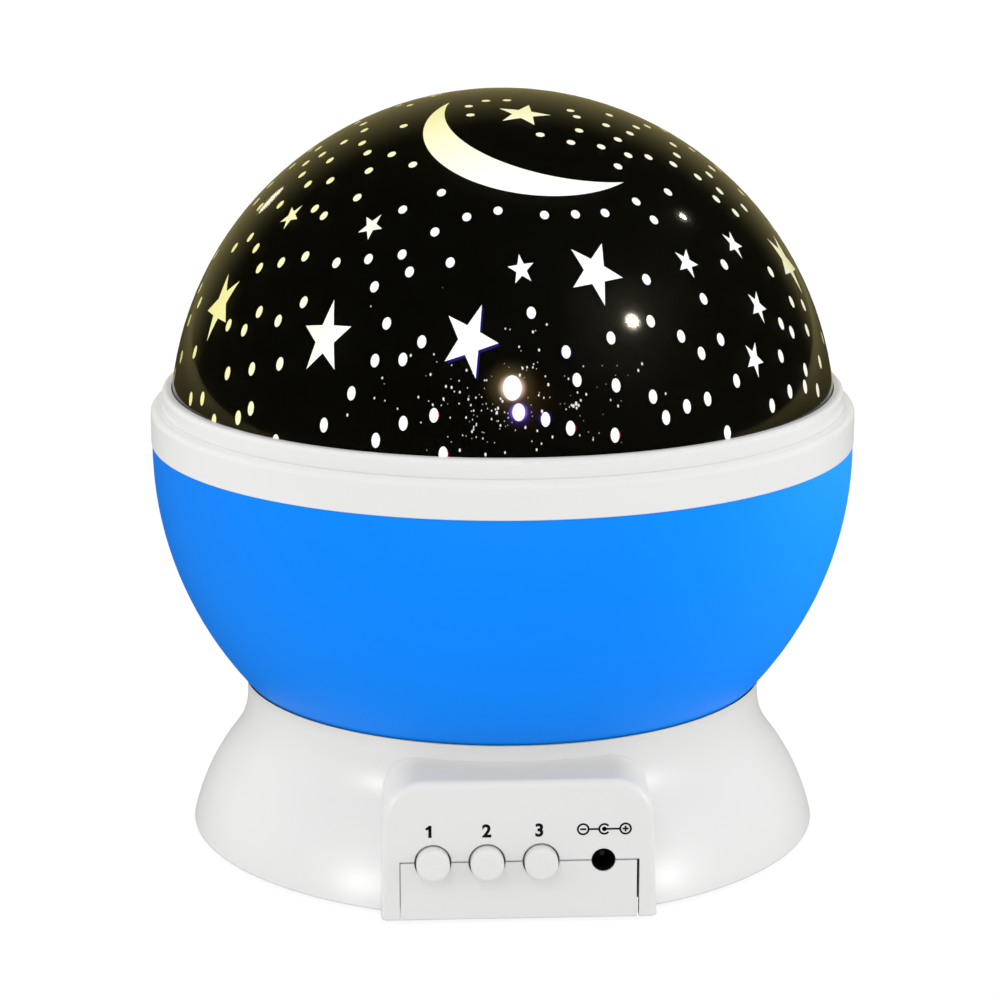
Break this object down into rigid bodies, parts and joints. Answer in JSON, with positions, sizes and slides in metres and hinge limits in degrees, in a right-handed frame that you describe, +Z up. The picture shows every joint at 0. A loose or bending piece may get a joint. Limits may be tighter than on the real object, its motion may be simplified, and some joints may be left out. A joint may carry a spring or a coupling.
{
  "type": "star night light projector",
  "caption": "Tabletop night light: a blue bowl turns on a flared white base and carries a dark dome whose clear star and moon windows throw light on the ceiling.",
  "frame": {"origin": "on the floor, under the middle of the lamp", "axes": "+Z up along the axis that the bowl turns about, -Y towards the control pod"},
  "size_m": [0.121, 0.121, 0.1283],
  "materials": {
    "shell_white": "satin moulded ABS",
    "ring_white": "satin moulded ABS",
    "button_white": "satin moulded ABS",
    "bowl_blue": "satin moulded ABS, bright blue",
    "dome_clear": "clear moulded polycarbonate",
    "film_dark": "black printed film with clear windows",
    "deck_white": "matt white ABS",
    "inner_plastic": "moulded ABS",
    "gear_plastic": "natural acetal",
    "pinion_plastic": "natural acetal",
    "foot_rubber": "grey rubber",
    "screw_steel": "zinc-plated steel",
    "shaft_steel": "ground steel",
    "can_steel": "drawn steel",
    "gearbox_brass": "stamped brass plates",
    "contact_nickel": "nickel-plated steel",
    "cell_wrap": "plain green sleeve",
    "board_green": "solder-masked laminate",
    "lamp_board_white": "white solder mask",
    "chip_black": "moulded epoxy",
    "switch_black": "moulded nylon",
    "socket_black": "moulded nylon",
    "lamp_clear": "clear epoxy",
    "lamp_red": "tinted epoxy",
    "lamp_green": "tinted epoxy",
    "lamp_blue": "tinted epoxy",
    "wire_red": "PVC insulation",
    "wire_black": "PVC insulation",
    "wire_yellow": "PVC insulation"
  },
  "bodies": {
    "root": {"base_shell": "shell_white", "bottom_cover": "shell_white", "rubber_feet": "foot_rubber", "cover_screws": "screw_steel", "battery_cells": "cell_wrap", "battery_contacts": "contact_nickel", "battery_springs": "contact_nickel", "control_board": "board_green", "switch_bodies": "switch_black", "power_socket": "socket_black", "socket_pin": "contact_nickel", "controller_chip": "chip_black", "board_parts": "chip_black", "board_screws": "screw_steel", "thrust_washer": "gear_plastic", "motor_plate": "inner_plastic", "gearbox": "gearbox_brass", "motor_can": "can_steel", "motor_end_cap": "socket_black", "motor_clamp": "inner_plastic", "clamp_screws": "screw_steel", "lamp_pillar": "inner_plastic", "plate_screws": "screw_steel", "lamp_board": "lamp_board_white", "lamp_screws": "screw_steel", "lamp_white": "lamp_clear", "lamp_red": "lamp_red", "lamp_green": "lamp_green", "lamp_blue": "lamp_blue", "lamp_wires": "wire_yellow", "motor_wires": "wire_black", "battery_wire_plus": "wire_red", "battery_wire_minus": "wire_black"},
    "head": {"bowl_shell": "bowl_blue", "rim_ring": "ring_white", "light_deck": "deck_white", "ring_gear": "gear_plastic", "gear_screws": "screw_steel"},
    "dome": {"dome_collar": "ring_white", "dome_retainer": "socket_black", "star_dome": "dome_clear", "star_film": "film_dark"},
    "drive": {"pinion": "pinion_plastic", "motor_shaft": "shaft_steel"},
    "door": {"battery_door": "shell_white"},
    "button_1": {"button_1": "button_white", "switch_stem_1": "switch_black"},
    "button_2": {"button_2": "button_white", "switch_stem_2": "switch_black"},
    "button_3": {"button_3": "button_white", "switch_stem_3": "switch_black"}
  },
  "joints": [
    {"name": "head_spin", "type": "hinge", "parent": "root", "child": "head", "pos_m": [0, 0, 0.03], "axis": [0, 0, 1], "continuous": true},
    {"name": "dome_lift", "type": "slide", "parent": "head", "child": "dome", "axis": [0, 0, 1], "range_m": [0, 0.06]},
    {"name": "pinion_spin", "type": "hinge", "parent": "root", "child": "drive", "pos_m": [0.0216, 0, 0.03], "axis": [0, 0, 1], "continuous": true},
    {"name": "door_hinge", "type": "hinge", "parent": "root", "child": "door", "pos_m": [0, -0.01445, 0.0014], "axis": [-1, 0, 0], "range_deg": [0, 55]},
    {"name": "button_1_press", "type": "slide", "parent": "root", "child": "button_1", "axis": [0, 1, 0], "range_m": [0, 0.0008], "stiffness_N_per_m": 2000, "springref_m": -0.0005},
    {"name": "button_2_press", "type": "slide", "parent": "root", "child": "button_2", "axis": [0, 1, 0], "range_m": [0, 0.0008], "stiffness_N_per_m": 2000, "springref_m": -0.0005},
    {"name": "button_3_press", "type": "slide", "parent": "root", "child": "button_3", "axis": [0, 1, 0], "range_m": [0, 0.0008], "stiffness_N_per_m": 2000, "springref_m": -0.0005}
  ],
  "couplings": [
    {"joint": "pinion_spin", "follows": "head_spin", "ratio": 5.5}
  ]
}
